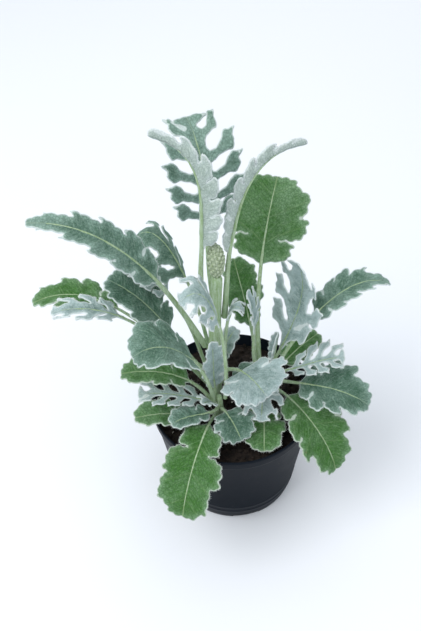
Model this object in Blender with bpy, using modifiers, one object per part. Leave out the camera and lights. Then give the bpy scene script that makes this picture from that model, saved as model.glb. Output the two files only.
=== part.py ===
"""A potted dusty miller: a round nursery pot, its soil, three shoots and their felted leaves.

Metres, +Z up. The origin is under the middle of the whole plant, on the surface the pot stands on.
Azimuth 0 points along +X (right) and 90 along +Y (back); the front of the plant faces -Y.
"""

import math
import random

import bmesh
import bpy
from mathutils import Matrix, Vector
from mathutils.geometry import delaunay_2d_cdt

MM = 0.001

# Pot, soil and clearances, in millimetres
RIM_RADIUS = 60.0
POT_HEIGHT = 96.0
FOOT_RADIUS = 47.5
WALL = 1.4
RIM_BAND = 8.5
RIM_STEP = 1.6
FOOT_RISE = 4.0
NOTCH_WIDTH = 20.0
NOTCH_ANGLES = (-82, 8, 98, 188)
DRAIN_RADIUS = 4.0
DRAIN_CIRCLE = 27.0
SOIL_TOP = 87.0
POT_STEPS = 36
ROOT_DEPTH = 26.0
GAP = 0.35

# The pot's axis, from the middle of the plant's bounding box
POT_AXIS = (10.7, 6.6)

# Leaves, in millimetres
BLADE_THICKNESS = 0.9
GRID_STEP = 10.0
GRID_MARGIN = 2.6
RIB_SHARE = 0.55
SPINE_STEPS = 48
STALK_POINTS = 6

# The bud: its half width and half height, and the bracts that stand out of it
BUD = dict(radius=5.2, half=12.0, bracts=11, bract=2.1, first=3.6, step=1.65, turn=137.508)

# Each shoot: where it stands, its radius at the soil and at the top, its height, and its lean at the top
SHOOTS = {
    "main_stem": dict(x=-12.0, y=6.0, foot=4.6, top=4.0, height=206.0, lean=(4.0, 2.0)),
    "front_shoot": dict(x=-10.0, y=-14.0, foot=3.8, top=2.2, height=112.0, lean=(0.0, 0.0)),
    "right_shoot": dict(x=24.0, y=8.0, foot=3.8, top=2.2, height=116.0, lean=(0.0, 0.0)),
}

FINISHES = {
    "pot_plastic": dict(colour=(0.035, 0.042, 0.052), roughness=0.42),
    "potting_soil": dict(colour=(0.012, 0.009, 0.007), roughness=0.95),
    "stem_felt": dict(colour=(0.36, 0.50, 0.30), roughness=0.8),
    "silver_felt": dict(colour=(0.42, 0.55, 0.53), roughness=0.9),
    "teal_felt": dict(colour=(0.20, 0.36, 0.30), roughness=0.9),
    "green_leaf": dict(colour=(0.10, 0.24, 0.08), roughness=0.85),
}

# Leaf blade forms. lobes: on each side; depth: how far the cuts go towards the rib; belly: where the
# blade is widest, as a share of its length; full: under 1 is fuller; lean: how far the lobes point to
# the tip, as a share of their spacing; teeth: how many blunt teeth end each lobe; wander: how much the
# lobes differ from an even row.
FORMS = {
    "fern": dict(lobes=5, depth=0.78, belly=0.46, full=0.50, lean=0.60, teeth=3, wander=0.05),
    "frill": dict(lobes=7, depth=0.60, belly=0.46, full=0.45, lean=0.50, teeth=1, wander=0.07),
    "long": dict(lobes=5, depth=0.34, belly=0.36, full=0.70, lean=0.35, teeth=1, wander=0.06),
    "lace": dict(lobes=4, depth=0.80, belly=0.52, full=0.50, lean=0.60, teeth=3, wander=0.06),
    "cut": dict(lobes=3, depth=0.58, belly=0.50, full=0.60, lean=0.45, teeth=3, wander=0.07),
    "oak": dict(lobes=4, depth=0.30, belly=0.48, full=0.62, lean=0.30, teeth=1, wander=0.07),
    "broad": dict(lobes=3, depth=0.24, belly=0.56, full=0.50, lean=0.20, teeth=2, wander=0.05),
    "round": dict(lobes=3, depth=0.09, belly=0.54, full=0.45, lean=0.10, teeth=1, wander=0.03),
}


# A lobe's outline: (across the lobe as a share of the spacing, how much of the lean, how far out)
LOBE_SHAPES = {
    1: ((-0.50, 0.0, 0.0), (-0.42, 0.4, 0.62), (-0.18, 0.9, 0.94), (0.10, 1.0, 1.0), (0.34, 0.8, 0.72),
        (0.44, 0.2, 0.26)),
    2: ((-0.50, 0.0, 0.0), (-0.44, 0.3, 0.55), (-0.26, 0.8, 0.90), (-0.06, 0.9, 0.84), (0.10, 1.0, 1.0),
        (0.30, 0.8, 0.76), (0.42, 0.3, 0.30)),
    3: ((-0.30, 0.0, 0.0), (-0.17, 0.4, 0.46), (-0.37, 0.8, 0.74), (-0.25, 1.2, 0.88), (-0.05, 1.2, 0.85),
        (0.08, 1.5, 1.0), (0.24, 1.2, 0.80), (0.37, 1.0, 0.62), (0.15, 0.5, 0.34), (0.27, 0.0, 0.02)),
}


def leaf(shoot, height, azimuth, reach, rise, lift, droop, form, wide, skin, stalk=0.3, out=0.0,
         turn=0.0, roll=0.0, twist=0.0, fold=10.0, curl=0.0, stem=1.6, wave=0.0):
    """One leaf, in millimetres and degrees.

    shoot, height: where its stalk leaves its shoot. azimuth, reach, rise: where its tip is from there.
    lift, droop: the slope at the foot and at the tip. out, turn: the headings there, from the azimuth.
    roll, twist: the blade turned about its rib, at its foot and more at its tip. fold: the halves
    lifted. curl: the edges bent up. wide: half the blade's width. stalk: the bare share of its length.
    """
    return dict(locals())


LEAVES = {
    # The tall leaves of the main stem
    "tall_back_leaf": leaf("main_stem", 186, 105, 46, 107, 62, 22, "fern", 27, "teal_felt", stalk=0.40,
                           turn=8, stem=2.0),
    "tall_front_leaf": leaf("main_stem", 176, 172, 32, 130, 80, 4, "frill", 13, "silver_felt", stalk=0.38,
                            turn=-12, roll=-50, fold=30, stem=2.2),
    "tall_right_leaf": leaf("main_stem", 168, 17, 59, 120, 85, -8, "frill", 9, "silver_felt", stalk=0.38,
                            roll=50, fold=34, stem=2.2),
    "long_left_leaf": leaf("main_stem", 143, 182, 105, 116, 70, -12, "long", 14, "teal_felt", stalk=0.44,
                           turn=-16, roll=20, stem=2.2),
    "hooded_left_leaf": leaf("main_stem", 126, 149, 57, 90, 80, -56, "cut", 25, "teal_felt", stalk=0.52,
                             out=-30, turn=28, fold=-18),
    "lace_left_leaf": leaf("main_stem", 98, 158, 62, 110, 52, 27, "lace", 15, "silver_felt", stalk=0.66,
                           out=-40),
    # The leaves at the back and right
    "back_big_leaf": leaf("right_shoot", 106, 79, 64, 129, 82, 34, "broad", 30, "green_leaf", stalk=0.60,
                          turn=-10, out=44, stem=2.0),
    "back_mid_leaf": leaf("right_shoot", 98, 114, 47, 85, 68, 54, "broad", 15, "green_leaf", stalk=0.46),
    "arched_centre_leaf": leaf("front_shoot", 110, 190, 22, 99, 84, -50, "cut", 18, "silver_felt",
                               stalk=0.60, out=165, roll=12, fold=-10),
    "right_tall_leaf": leaf("right_shoot", 108, 33, 25, 93, 58, 116, "cut", 25, "silver_felt", stalk=0.20),
    "right_pale_leaf": leaf("right_shoot", 107, 165, 13, 80, 74, 70, "cut", 13, "silver_felt", stalk=0.52),
    "right_long_leaf": leaf("right_shoot", 103, 14, 90, 68, 66, -34, "long", 15, "teal_felt", stalk=0.50,
                            turn=-8),
    "right_low_back_leaf": leaf("right_shoot", 98, 34, 52, 18, 30, 0, "broad", 14, "green_leaf", stalk=0.3),
    "right_lace_leaf": leaf("right_shoot", 108, 352, 56, 22, 12, 6, "lace", 16, "silver_felt", stalk=0.24),
    "right_mid_leaf": leaf("right_shoot", 103, 334, 78, 5, 10, -30, "oak", 25, "teal_felt", stalk=0.32),
    "right_low_leaf": leaf("right_shoot", 97, 308, 75, -29, 37, -76, "oak", 24, "green_leaf", stalk=0.24),
    # The middle
    "fan_leaf": leaf("main_stem", 118, 312, 51, 12, 42, -34, "broad", 27, "silver_felt", stalk=0.42,
                     out=24),
    "under_fan_leaf": leaf("right_shoot", 106, 262, 42, 0, 26, -40, "cut", 16, "silver_felt", stalk=0.18),
    "front_soil_leaf": leaf("right_shoot", 95, 265, 58, -2, 8, -10, "round", 15, "green_leaf", stalk=0.36),
    "front_centre_leaf": leaf("front_shoot", 102, 295, 33, -3, 32, -40, "broad", 16, "teal_felt",
                              stalk=0.2),
    "centre_grey_leaf": leaf("main_stem", 97, 44, 24, 44, 80, 0, "round", 8, "silver_felt", stalk=0.5),
    "centre_dark_leaf": leaf("main_stem", 92, 348, 30, 26, 70, -6, "round", 11, "teal_felt", stalk=0.40),
    "young_leaf": leaf("right_shoot", 113, 20, 10, 34, 76, 84, "round", 5, "silver_felt", stalk=0.15,
                       fold=50),
    # The left side
    "front_left_leaf": leaf("front_shoot", 97, 246, 72, -32, 44, -74, "broad", 22, "green_leaf",
                            stalk=0.20),
    "front_left_pale_leaf": leaf("front_shoot", 102, 212, 40, 8, 30, -16, "round", 10, "teal_felt",
                                 stalk=0.28, out=35),
    "left_low_green_leaf": leaf("front_shoot", 94, 192, 61, 14, 10, -6, "broad", 13, "green_leaf",
                                stalk=0.3),
    "left_mid_green_leaf": leaf("front_shoot", 101, 178, 66, 38, 58, -14, "broad", 14, "green_leaf",
                                stalk=0.36, out=-30),
    "left_lace_leaf": leaf("front_shoot", 106, 182, 56, 15, 20, -6, "lace", 14, "silver_felt", stalk=0.15),
    "left_front_big_leaf": leaf("front_shoot", 109, 200, 56, 70, 88, -32, "broad", 24, "teal_felt",
                                stalk=0.50),
    "left_teal_leaf": leaf("main_stem", 112, 168, 69, 85, 52, 14, "broad", 20, "teal_felt", stalk=0.46,
                           turn=-12),
    "left_white_leaf": leaf("main_stem", 118, 184, 103, 72, 46, -14, "cut", 13, "silver_felt", stalk=0.62),
    "left_far_green_leaf": leaf("main_stem", 104, 172, 122, 72, 62, -24, "oak", 15, "green_leaf",
                                stalk=0.60, out=16, turn=20),
    "small_grey_leaf": leaf("main_stem", 116, 350, 21, 62, 86, -60, "cut", 8, "silver_felt", stalk=0.70,
                            out=20),
    "crown_white_leaf": leaf("front_shoot", 107, 228, 18, 14, 46, 10, "cut", 8, "silver_felt", stalk=0.25,
                             out=5, stem=1.2),
    "upright_grey_leaf": leaf("front_shoot", 107, 118, 6, 56, 80, 86, "oak", 10, "silver_felt", stalk=0.16),
}


def material(slot):
    """The plain finish of one slot."""
    made = bpy.data.materials.get(slot)
    if made:
        return made
    made = bpy.data.materials.new(slot)
    made.use_nodes = True
    shader = made.node_tree.nodes["Principled BSDF"]
    shader.inputs["Base Color"].default_value = (*FINISHES[slot]["colour"], 1.0)
    shader.inputs["Roughness"].default_value = FINISHES[slot]["roughness"]
    shader.inputs["Metallic"].default_value = 0.0
    return made


def add_object(name, data, collection, slot=None):
    """A new object in the collection, with its material."""
    made = bpy.data.objects.new(name, data)
    collection.objects.link(made)
    if slot:
        made.data.materials.append(material(slot))
    return made


def mesh_from_bmesh(name, shape):
    """A mesh made from the bmesh, which is freed."""
    mesh = bpy.data.meshes.new(name)
    shape.to_mesh(mesh)
    shape.free()
    return mesh


def bake(obj):
    """Applies the object's modifiers, so that its helpers can be removed."""
    graph = bpy.context.evaluated_depsgraph_get()
    made = bpy.data.meshes.new_from_object(obj.evaluated_get(graph))
    obj.modifiers.clear()
    obj.data = made


def helper(name, mesh, collection):
    """A cutter or a piece to be joined, which isn't part of the object."""
    made = add_object(name, mesh, collection)
    made.hide_render = True
    made.display_type = "WIRE"
    return made


def boolean(obj, other, operation):
    """A live Boolean of one helper."""
    cut = obj.modifiers.new(other.name, "BOOLEAN")
    cut.operation = operation
    cut.object = other
    cut.solver = "EXACT"


def turned(name, profile, collection, slot):
    """A closed profile of (radius, height) turned about Z, outer side first from top to bottom."""
    shape = bmesh.new()
    points = [shape.verts.new((r * MM, 0.0, z * MM)) for r, z in profile]
    for a, b in zip(points, points[1:]):
        shape.edges.new((a, b))
    if profile[0][0] > 0.0 and profile[-1][0] > 0.0:
        shape.edges.new((points[-1], points[0]))
    obj = add_object(name, mesh_from_bmesh(name, shape), collection, slot)
    screw = obj.modifiers.new("turn", "SCREW")
    screw.steps = POT_STEPS
    screw.render_steps = POT_STEPS
    screw.use_merge_vertices = True
    screw.merge_threshold = 0.00005
    return obj


def cylinder(name, radius, low, high, place, collection, sides=12):
    """A plain upright cylinder, used as a cutter."""
    shape = bmesh.new()
    bmesh.ops.create_cone(shape, cap_ends=True, segments=sides, radius1=radius * MM, radius2=radius * MM,
                          depth=(high - low) * MM)
    bmesh.ops.translate(shape, verts=shape.verts, vec=(place[0] * MM, place[1] * MM, (high + low) / 2 * MM))
    return helper(name, mesh_from_bmesh(name, shape), collection)


def wall_radius(height):
    """The pot's outer radius at a height under the rim band."""
    top = RIM_RADIUS - RIM_STEP
    return FOOT_RADIUS + (top - FOOT_RADIUS) * height / (POT_HEIGHT - RIM_BAND)


def make_pot(collection, cutters):
    """The black nursery pot: a tapered wall, a stepped rim band, a notched foot ring and drain holes."""
    band_foot = POT_HEIGHT - RIM_BAND
    floor_top = FOOT_RISE + WALL
    profile = [
        (RIM_RADIUS, POT_HEIGHT),
        (RIM_RADIUS - 0.4, band_foot + 1.0),
        (RIM_RADIUS - 0.9, band_foot),
        (wall_radius(band_foot - 1.0), band_foot - 1.0),
        (wall_radius(7.0), 7.0),
        (FOOT_RADIUS, 3.0),
        (FOOT_RADIUS - 1.2, 0.0),
        (FOOT_RADIUS - 4.2, 0.0),
        (FOOT_RADIUS - 4.6, FOOT_RISE),
        (0.0, FOOT_RISE),
    ]
    inside = [
        (0.0, floor_top),
        (FOOT_RADIUS - 3.0, floor_top),
        (wall_radius(band_foot) - WALL, band_foot),
        (RIM_RADIUS - WALL, band_foot + 2.0),
        (RIM_RADIUS - WALL, POT_HEIGHT),
    ]
    pot = turned("nursery_pot", profile + inside, collection, "pot_plastic")
    close = pot.modifiers.new("close", "WELD")
    close.merge_threshold = 0.00002
    for number, angle in enumerate(NOTCH_ANGLES):
        shape = bmesh.new()
        bmesh.ops.create_cube(shape, size=1.0)
        size = Vector((14.0, NOTCH_WIDTH, 2 * (FOOT_RISE - 1.4)))
        bmesh.ops.scale(shape, verts=shape.verts, vec=size * MM)
        bmesh.ops.translate(shape, verts=shape.verts, vec=((FOOT_RADIUS - 2.0) * MM, 0.0, 0.0))
        turn = Matrix.Rotation(math.radians(angle), 3, "Z")
        bmesh.ops.rotate(shape, verts=shape.verts, cent=(0, 0, 0), matrix=turn)
        boolean(pot, helper(f"notch_{number}", mesh_from_bmesh("notch", shape), cutters), "DIFFERENCE")
    for number in range(4):
        turn = math.radians(45 + 90 * number)
        place = (DRAIN_CIRCLE * math.cos(turn), DRAIN_CIRCLE * math.sin(turn))
        drill = cylinder(f"drain_{number}", DRAIN_RADIUS, FOOT_RISE - 2.0, floor_top + 2.0, place, cutters)
        boolean(pot, drill, "DIFFERENCE")
    return pot


def soil_height(x, y):
    """The crumbly top of the soil, in millimetres: low humps that die out towards the wall."""
    r = math.hypot(x, y)
    edge = max(0.0, 1.0 - (r / 57.0) ** 4)
    humps = math.sin(0.31 * x + 1.1) * math.cos(0.27 * y - 0.4) + 0.7 * math.sin(0.62 * x - 0.45 * y)
    return 1.3 * humps * edge + 1.5 * edge


def make_soil(collection, cutters):
    """The soil that fills the pot, with a plain hole for each shoot."""
    band_foot = POT_HEIGHT - RIM_BAND
    top = SOIL_TOP
    side = wall_radius(band_foot) - WALL - GAP
    foot = FOOT_RADIUS - 3.0 - GAP
    low = FOOT_RISE + WALL + GAP
    slope = (side - foot) / (band_foot - FOOT_RISE - WALL)
    edge = foot + slope * (top - low) - 0.2
    rings = [edge * share for share in (1.0, 0.84, 0.68, 0.52, 0.36, 0.20)]
    profile = [(0.0, top)] + [(r, top) for r in reversed(rings)] + [(foot, low), (0.0, low)]
    soil = turned("potting_soil", profile, collection, "potting_soil")
    bake(soil)
    for vertex in soil.data.vertices:
        if vertex.co.z > (top - 1.0) * MM:
            vertex.co.z += soil_height(vertex.co.x / MM, vertex.co.y / MM) * MM
    for name, shoot in SHOOTS.items():
        drill = cylinder(f"{name}_hole", shoot["foot"] + GAP, top - ROOT_DEPTH - GAP, top + 20.0,
                         (shoot["x"], shoot["y"]), cutters, sides=14)
        boolean(soil, drill, "DIFFERENCE")
    return soil


def shoot_axis(name, height):
    """(point on the shoot's axis at that height, radius there), in millimetres."""
    shoot = SHOOTS[name]
    share = max(0.0, (height - SOIL_TOP) / (shoot["height"] - SOIL_TOP))
    x = shoot["x"] + shoot["lean"][0] * share ** 2
    y = shoot["y"] + shoot["lean"][1] * share ** 2
    return Vector((x, y, height)), shoot["foot"] + (shoot["top"] - shoot["foot"]) * share


def tube(name, path, radii, sides_level, collection):
    """A mesh tube through the points, made from a curve with filled caps that are then welded."""
    curve = bpy.data.curves.new(name, "CURVE")
    curve.dimensions = "3D"
    curve.bevel_depth = MM
    curve.bevel_resolution = sides_level
    curve.use_fill_caps = True
    spline = curve.splines.new("POLY")
    spline.points.add(len(path) - 1)
    for point, place, radius in zip(spline.points, path, radii):
        point.co = (*(place * MM), 1.0)
        point.radius = radius
    guide = bpy.data.objects.new(name, curve)
    collection.objects.link(guide)
    bpy.context.view_layer.update()
    graph = bpy.context.evaluated_depsgraph_get()
    mesh = bpy.data.meshes.new_from_object(guide.evaluated_get(graph))
    bpy.data.objects.remove(guide)
    shape = bmesh.new()
    shape.from_mesh(mesh)
    bmesh.ops.remove_doubles(shape, verts=shape.verts, dist=0.00002)
    bmesh.ops.recalc_face_normals(shape, faces=shape.faces)
    shape.to_mesh(mesh)
    shape.free()
    return mesh


def make_shoot(name, collection):
    """One shoot, from its hole in the soil to its top."""
    low = SOIL_TOP - ROOT_DEPTH
    high = SHOOTS[name]["height"]
    heights = [low + (high - low) * share for share in (0.0, 0.2, 0.35, 0.5, 0.65, 0.8, 0.93, 1.0)]
    path, radii = zip(*(shoot_axis(name, height) for height in heights))
    radii = [*radii[:-1], radii[-1] * 0.6]
    return add_object(name, tube(name, path, radii, 2, collection), collection, "stem_felt")


def direction(azimuth, slope):
    """A unit vector from an azimuth and a slope above the horizon, in degrees."""
    a, e = math.radians(azimuth), math.radians(slope)
    return Vector((math.cos(a) * math.cos(e), math.sin(a) * math.cos(e), math.sin(e)))


class Spine:
    """The line of a leaf's stalk and rib, with the blade's side and face directions along it."""

    def __init__(self, spec):
        self.spec = spec
        axis, radius = shoot_axis(spec["shoot"], spec["height"])
        away = direction(spec["azimuth"], 0.0)
        clear = radius + GAP + spec["stem"] * math.sin(math.radians(abs(spec["lift"])))
        start = axis + direction(spec["azimuth"] + spec["out"], 0.0) * clear
        end = axis + away * spec["reach"] + Vector((0.0, 0.0, spec["rise"]))
        pull = 0.38 * (end - start).length
        bend_in = start + direction(spec["azimuth"] + spec["out"], spec["lift"]) * pull
        bend_out = end - direction(spec["azimuth"] + spec["turn"], spec["droop"]) * pull
        self.points = []
        for step in range(SPINE_STEPS + 1):
            t = step / SPINE_STEPS
            s = 1.0 - t
            point = start * s ** 3 + bend_in * 3 * s * s * t + bend_out * 3 * s * t * t + end * t ** 3
            self.points.append(point)
        self.lengths = [0.0]
        for a, b in zip(self.points, self.points[1:]):
            self.lengths.append(self.lengths[-1] + (b - a).length)
        self.total = self.lengths[-1]

    def at(self, distance):
        """(place, along, side, face) at a distance from the foot."""
        distance = min(max(distance, 0.0), self.total)
        step = max(i for i in range(SPINE_STEPS) if self.lengths[i] <= distance)
        part = (distance - self.lengths[step]) / (self.lengths[step + 1] - self.lengths[step])
        place = self.points[step].lerp(self.points[step + 1], part)
        before = self.points[max(step - 1, 0)]
        after = self.points[min(step + 2, SPINE_STEPS)]
        along = (after - before).normalized()
        share = distance / self.total
        level = math.radians(self.spec["azimuth"] + self.spec["turn"] * share)
        side = Vector((math.sin(level), -math.cos(level), 0.0))
        side = (side - along * side.dot(along)).normalized()
        face = side.cross(along)
        turn = math.radians(self.spec["roll"] + self.spec["twist"] * share)
        rolled = side * math.cos(turn) + face * math.sin(turn)
        return place, along, rolled, rolled.cross(along)


def envelope(form, share):
    """The blade's half width at a share of its length, from 0 to 1."""
    bent = share ** (math.log(0.5) / math.log(form["belly"]))
    return math.sin(math.pi * min(max(bent, 0.0), 1.0)) ** form["full"]


def half_outline(form, length, wide, stem, shift, luck):
    """One side of the blade as (along, across), from its foot towards its tip."""
    lobes = form["lobes"]
    spacing = length / (lobes + 0.75)
    points = [(0.0, stem * 0.8)]
    for number in range(lobes):
        middle = spacing * (number + 0.62 + shift + luck.uniform(-form["wander"], form["wander"]))
        outer = wide * envelope(form, min(middle / length + 0.06, 0.97))
        outer *= 1.0 + luck.uniform(-1.5, 1.0) * form["wander"]
        root = wide * envelope(form, min(max(middle - 0.5 * spacing, 0.02 * length) / length, 0.97))
        inner = max(root * (1.0 - form["depth"]), stem)
        rest = outer - inner
        lean = form["lean"] * spacing
        points += [(middle + across * spacing + forward * lean, inner + rest * height)
                   for across, forward, height in LOBE_SHAPES[form["teeth"]]]
    end = wide * envelope(form, 0.93)
    cut = max(wide * envelope(form, 0.86) * (1.0 - form["depth"]), stem)
    points += [(length * 0.90, cut), (length * 0.955, end * 0.95), (length * 0.99, end * 0.5)]
    kept = [points[0]]
    for point in points[1:]:
        if math.dist(point, kept[-1]) > 1.0 and point[1] > 0.6:
            kept.append(point)
    return kept


def outline(name, spec, length):
    """The blade's closed outline in its own plane, as (along, across)."""
    form = FORMS[spec["form"]]
    luck = random.Random(name)
    right = half_outline(form, length, spec["wide"], spec["stem"], 0.0, luck)
    left = half_outline(form, length, spec["wide"], spec["stem"], 0.12, luck)
    return right + [(length, 0.0)] + [(u, -v) for u, v in reversed(left)]


def inside(point, ring):
    """Whether a point lies in the outline, and clear of its points."""
    if min(math.dist(point, other) for other in ring) < GRID_MARGIN:
        return False
    crossings = 0
    for (x0, y0), (x1, y1) in zip(ring, ring[1:] + ring[:1]):
        if (y0 > point[1]) != (y1 > point[1]):
            crossings += point[0] < x0 + (point[1] - y0) / (y1 - y0) * (x1 - x0)
    return crossings % 2 == 1


def largest_island(faces):
    """The largest group of triangles joined edge to edge."""
    owners = {}
    for number, face in enumerate(faces):
        for i in range(3):
            owners.setdefault(frozenset((face[i], face[i - 1])), []).append(number)
    links = {number: set() for number in range(len(faces))}
    for pair in owners.values():
        for number in pair:
            links[number].update(pair)
    best, waiting = [], set(links)
    while waiting:
        island, front = set(), [waiting.pop()]
        while front:
            number = front.pop()
            island.add(number)
            fresh = links[number] & waiting
            waiting -= fresh
            front += fresh
        best = max(best, sorted(island), key=len)
    return [faces[number] for number in best]


def blade_surface(name, spec, spine):
    """The blade as an open sheet of triangles, bent along the spine."""
    foot = spine.total * spec["stalk"]
    length = spine.total - foot
    ring = outline(name, spec, length)
    grid = []
    for row in range(1, int(length / GRID_STEP) + 1):
        u = row * length / (int(length / GRID_STEP) + 1)
        for column in range(-5, 6):
            offset = 0.5 * GRID_STEP * (row % 2) * (1 if column > 0 else -1 if column < 0 else 0)
            grid.append((u, column * GRID_STEP + offset))
    grid = [point for point in grid if inside(point, ring)]
    places = [Vector(p) for p in ring + grid]
    flat, _, faces, *_ = delaunay_2d_cdt(places, [], [list(range(len(ring)))], 1, 1e-5)
    faces = largest_island(faces)
    shape = bmesh.new()
    verts = []
    for point in flat:
        place, _, side, face = spine.at(foot + point.x)
        across = point.y
        share = abs(across) / spec["wide"]
        lift = abs(across) * math.sin(math.radians(spec["fold"])) + spec["curl"] * share ** 2 * spec["wide"]
        lift += spec["wave"] * share ** 2 * math.sin(point.x * 0.42 + (1.7 if across > 0 else 0.0))
        spot = place + side * across * math.cos(math.radians(spec["fold"])) + face * lift
        verts.append(shape.verts.new(spot * MM))
    for corners in faces:
        shape.faces.new([verts[i] for i in corners])
    bmesh.ops.delete(shape, geom=[v for v in shape.verts if not v.link_faces], context="VERTS")
    bmesh.ops.recalc_face_normals(shape, faces=shape.faces)
    return shape


def make_leaf(name, spec, collection, cutters):
    """One leaf: its blade with thickness, and its stalk running under it as a rib, as one solid."""
    spine = Spine(spec)
    obj = add_object(name, mesh_from_bmesh(name, blade_surface(name, spec, spine)), collection, spec["skin"])
    thick = obj.modifiers.new("thickness", "SOLIDIFY")
    thick.thickness = BLADE_THICKNESS * MM
    thick.offset = 0.0
    rib_end = spine.total * (spec["stalk"] + (1.0 - spec["stalk"]) * RIB_SHARE)
    path, radii = [], []
    for step in range(STALK_POINTS):
        distance = rib_end * step / (STALK_POINTS - 1)
        place, _, _, face = spine.at(distance)
        radius = spec["stem"] * (1.0 - 0.62 * step / (STALK_POINTS - 1))
        bare = spine.total * spec["stalk"]
        sunk = max(0.0, distance - bare) / (rib_end - bare + 0.01)
        path.append(place - face * min(1.0, 4 * sunk) * radius * 0.45)
        radii.append(radius)
    stalk = helper(f"{name}_stalk", tube(f"{name}_stalk", path, radii, 1, cutters), cutters)
    boolean(obj, stalk, "UNION")
    bpy.context.view_layer.update()
    bake(obj)
    bpy.data.objects.remove(stalk)
    return obj


def make_bud(collection, cutters):
    """The knobbly bud on the main stem: small bracts set in a spiral on a core."""
    top, radius = shoot_axis("main_stem", SHOOTS["main_stem"]["height"])
    base = top + Vector((0.0, 0.0, GAP))
    middle = Vector((0.0, 0.0, BUD["half"] - 0.5))
    shape = bmesh.new()
    bmesh.ops.create_icosphere(shape, subdivisions=2, radius=1.0)
    bmesh.ops.scale(shape, verts=shape.verts, vec=Vector((BUD["radius"], BUD["radius"], BUD["half"])) * MM)
    bmesh.ops.translate(shape, verts=shape.verts, vec=(base + middle) * MM)
    bmesh.ops.bisect_plane(shape, geom=[*shape.verts, *shape.edges, *shape.faces], plane_co=base * MM,
                           plane_no=(0, 0, -1), clear_outer=True)
    bmesh.ops.holes_fill(shape, edges=[e for e in shape.edges if e.is_boundary])
    obj = add_object("flower_bud", mesh_from_bmesh("flower_bud", shape), collection, "silver_felt")
    for number in range(BUD["bracts"]):
        turn = math.radians(number * BUD["turn"])
        height = BUD["first"] + number * BUD["step"]
        share = (height - middle.z) / (BUD["half"] + 0.5)
        swell = 0.82 * BUD["radius"] * math.sqrt(max(0.15, 1.0 - share ** 2))
        grain = bmesh.new()
        bmesh.ops.create_icosphere(grain, subdivisions=1, radius=BUD["bract"] * MM)
        place = base + Vector((swell * math.cos(turn), swell * math.sin(turn), height))
        bmesh.ops.translate(grain, verts=grain.verts, vec=place * MM)
        helper(f"bract_{number}", mesh_from_bmesh("bract", grain), cutters)
    grains = [o for o in cutters.objects if o.name.startswith("bract")]
    group = bpy.data.collections.new("bracts")
    bpy.context.scene.collection.children.link(group)
    for grain in grains:
        cutters.objects.unlink(grain)
        group.objects.link(grain)
    join = obj.modifiers.new("join", "BOOLEAN")
    join.operation = "UNION"
    join.operand_type = "COLLECTION"
    join.collection = group
    join.solver = "EXACT"
    bpy.context.view_layer.update()
    bake(obj)
    for grain in grains:
        bpy.data.objects.remove(grain)
    bpy.data.collections.remove(group)
    return obj


def main():
    for old in list(bpy.data.objects):
        bpy.data.objects.remove(old)
    parts = bpy.data.collections.new("dusty_miller")
    cutters = bpy.data.collections.new("cutters")
    bpy.context.scene.collection.children.link(parts)
    bpy.context.scene.collection.children.link(cutters)
    make_pot(parts, cutters)
    make_soil(parts, cutters)
    for name in SHOOTS:
        make_shoot(name, parts)
    make_bud(parts, cutters)
    for name, spec in LEAVES.items():
        make_leaf(name, spec, parts, cutters)
    frame = bpy.data.objects.new("plant_frame", None)
    frame.location = (POT_AXIS[0] * MM, POT_AXIS[1] * MM, 0.0)
    bpy.context.scene.collection.objects.link(frame)
    for obj in [*parts.objects, *cutters.objects]:
        obj.parent = frame


main()
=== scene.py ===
import math
import random

import bmesh
import bpy
import numpy as np
from mathutils import Matrix, Vector, noise
from mathutils.geometry import delaunay_2d_cdt


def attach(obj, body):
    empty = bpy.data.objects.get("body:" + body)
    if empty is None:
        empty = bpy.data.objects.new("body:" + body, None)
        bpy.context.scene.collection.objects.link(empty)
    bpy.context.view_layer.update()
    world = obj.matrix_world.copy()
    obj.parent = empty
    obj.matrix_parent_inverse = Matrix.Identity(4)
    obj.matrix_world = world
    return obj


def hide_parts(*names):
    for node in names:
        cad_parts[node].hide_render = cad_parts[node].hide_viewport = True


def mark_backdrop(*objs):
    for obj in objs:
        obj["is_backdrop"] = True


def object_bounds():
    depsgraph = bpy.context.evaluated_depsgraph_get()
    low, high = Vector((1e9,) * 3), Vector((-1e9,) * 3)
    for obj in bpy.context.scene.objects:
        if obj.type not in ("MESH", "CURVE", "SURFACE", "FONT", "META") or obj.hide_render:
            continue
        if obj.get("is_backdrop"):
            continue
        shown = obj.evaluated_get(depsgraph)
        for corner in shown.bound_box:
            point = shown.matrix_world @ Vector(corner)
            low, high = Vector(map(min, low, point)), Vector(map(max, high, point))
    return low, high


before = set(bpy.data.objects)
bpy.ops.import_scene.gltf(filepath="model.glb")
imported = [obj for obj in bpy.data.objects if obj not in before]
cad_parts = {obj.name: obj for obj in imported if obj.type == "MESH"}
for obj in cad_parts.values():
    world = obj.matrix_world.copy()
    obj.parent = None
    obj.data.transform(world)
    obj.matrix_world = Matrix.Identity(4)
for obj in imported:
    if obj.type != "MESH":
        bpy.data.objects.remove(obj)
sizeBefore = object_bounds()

mm = 0.001
potAxis = Vector((10.7, 6.6, 0.0))  # the pot's axis in the row frame, in millimetres
gap = 0.35  # between neighbours, in millimetres
scene = bpy.context.scene


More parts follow.
